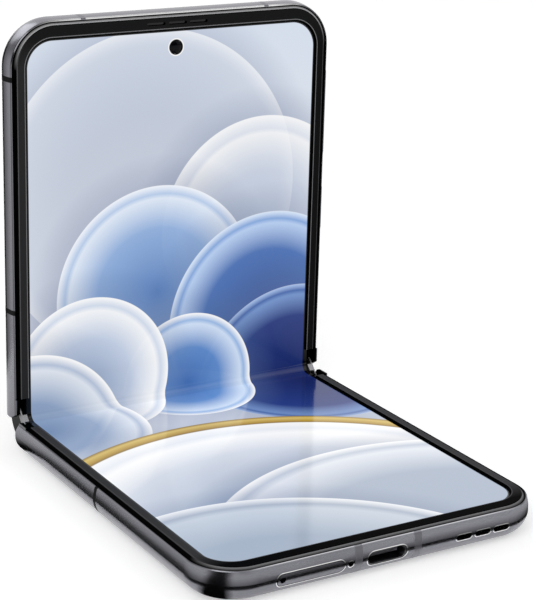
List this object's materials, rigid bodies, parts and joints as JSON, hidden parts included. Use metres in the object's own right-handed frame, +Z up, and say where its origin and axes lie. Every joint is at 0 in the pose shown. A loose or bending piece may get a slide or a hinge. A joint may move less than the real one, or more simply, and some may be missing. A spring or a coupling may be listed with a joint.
{
  "type": "foldable smartphone",
  "caption": "Clamshell phone that folds on a geared hinge: two rounded metal halves with a flexible screen across the fold, side keys, card tray and end ports.",
  "frame": {"origin": "centre of the lower half's back face, on the surface that the phone stands on", "axes": "+X to the right as the user faces the screen, along the fold line; +Y away from the user, from the charging port to the fold; +Z up, out of the lower screen"},
  "size_m": [0.0768, 0.094, 0.0927],
  "materials": {
    "anodised_rail": "fine satin anodised",
    "antenna_resin": "smooth moulded",
    "back_glass": "polished glass, opaque dark coating behind",
    "bezel": "smooth black",
    "display": "gloss screen film with a lit picture",
    "battery_foil": "wrapped foil",
    "circuit_board": "solder mask",
    "black_housing": "moulded",
    "cover_panel": "gloss",
    "lens_glass": "coated glass",
    "flash": "ribbed clear lens",
    "ring_metal": "polished anodised",
    "spine_gloss": "gloss black lacquer",
    "cap_metal": "satin",
    "steel": "machined"
  },
  "bodies": {
    "base": {"base_frame": "anodised_rail", "base_antenna_bands": "antenna_resin", "base_back_glass": "back_glass", "base_bezel": "bezel", "base_display": "display", "base_support_plate": "steel", "base_wing_plate": "steel", "base_swing_arms": "steel", "base_hinge_screws": "steel", "base_battery": "battery_foil", "sub_board": "circuit_board", "usb_port": "steel", "loudspeaker": "black_housing", "haptic_motor": "steel"},
    "spine": {"hinge_spine": "spine_gloss", "hinge_brackets": "steel", "hinge_end_caps": "cap_metal", "display_fold": "display"},
    "lid": {"lid_frame": "anodised_rail", "lid_antenna_bands": "antenna_resin", "lid_back_glass": "back_glass", "lid_bezel": "bezel", "lid_display": "display", "lid_support_plate": "steel", "lid_wing_plate": "steel", "lid_swing_arms": "steel", "lid_hinge_screws": "steel", "lid_battery": "battery_foil", "main_board": "circuit_board", "cover_display": "cover_panel", "wide_camera": "black_housing", "main_camera": "black_housing", "camera_rings": "ring_metal", "camera_glasses": "lens_glass", "flash_lens": "flash", "front_camera": "black_housing", "earpiece": "black_housing"},
    "card_tray": {"card_tray": "anodised_rail"},
    "power_key": {"power_key": "anodised_rail"},
    "volume_key": {"volume_key": "anodised_rail"},
    "base_drive_gears": {"base_drive_gears": "steel"},
    "base_idler_gears": {"base_idler_gears": "steel"},
    "lid_idler_gears": {"lid_idler_gears": "steel"},
    "lid_drive_gears": {"lid_drive_gears": "steel"}
  },
  "joints": [
    {"name": "spine_fold", "type": "hinge", "parent": "base", "child": "spine", "pos_m": [0, 0.0423, 0.0071], "axis": [1, 0, 0], "range_deg": [-45, 45], "deforming": ["display_fold"]},
    {"name": "lid_fold", "type": "hinge", "parent": "spine", "child": "lid", "pos_m": [0, 0.04287, 0.00767], "axis": [1, 0, 0], "range_deg": [-45, 45], "deforming": ["display_fold"]},
    {"name": "base_drive_gear_spin", "type": "hinge", "parent": "spine", "child": "base_drive_gears", "pos_m": [0, 0.0436, 0.0034], "axis": [1, 0, 0], "range_deg": [-208, 208]},
    {"name": "base_idler_gear_spin", "type": "hinge", "parent": "spine", "child": "base_idler_gears", "pos_m": [0, 0.04459, 0.00439], "axis": [1, 0, 0], "range_deg": [-208, 208]},
    {"name": "lid_idler_gear_spin", "type": "hinge", "parent": "spine", "child": "lid_idler_gears", "pos_m": [0, 0.04558, 0.00538], "axis": [1, 0, 0], "range_deg": [-208, 208]},
    {"name": "lid_drive_gear_spin", "type": "hinge", "parent": "spine", "child": "lid_drive_gears", "pos_m": [0, 0.04657, 0.00637], "axis": [1, 0, 0], "range_deg": [-208, 208]},
    {"name": "tray_slide", "type": "slide", "parent": "base", "child": "card_tray", "axis": [0, -1, 0], "range_m": [0, 0.021]},
    {"name": "power_press", "type": "slide", "parent": "lid", "child": "power_key", "axis": [-1, 0, 0], "range_m": [0, 0.00035], "stiffness_N_per_m": 600, "springref_m": -0.0004},
    {"name": "volume_press", "type": "slide", "parent": "lid", "child": "volume_key", "axis": [-1, 0, 0], "range_m": [0, 0.00035], "stiffness_N_per_m": 600, "springref_m": -0.0004}
  ],
  "couplings": [
    {"joint": "lid_fold", "follows": "spine_fold", "ratio": 1},
    {"joint": "base_drive_gear_spin", "follows": "spine_fold", "ratio": 4.6},
    {"joint": "base_idler_gear_spin", "follows": "spine_fold", "ratio": -4.6},
    {"joint": "lid_idler_gear_spin", "follows": "spine_fold", "ratio": 4.6},
    {"joint": "lid_drive_gear_spin", "follows": "spine_fold", "ratio": -4.6}
  ]
}
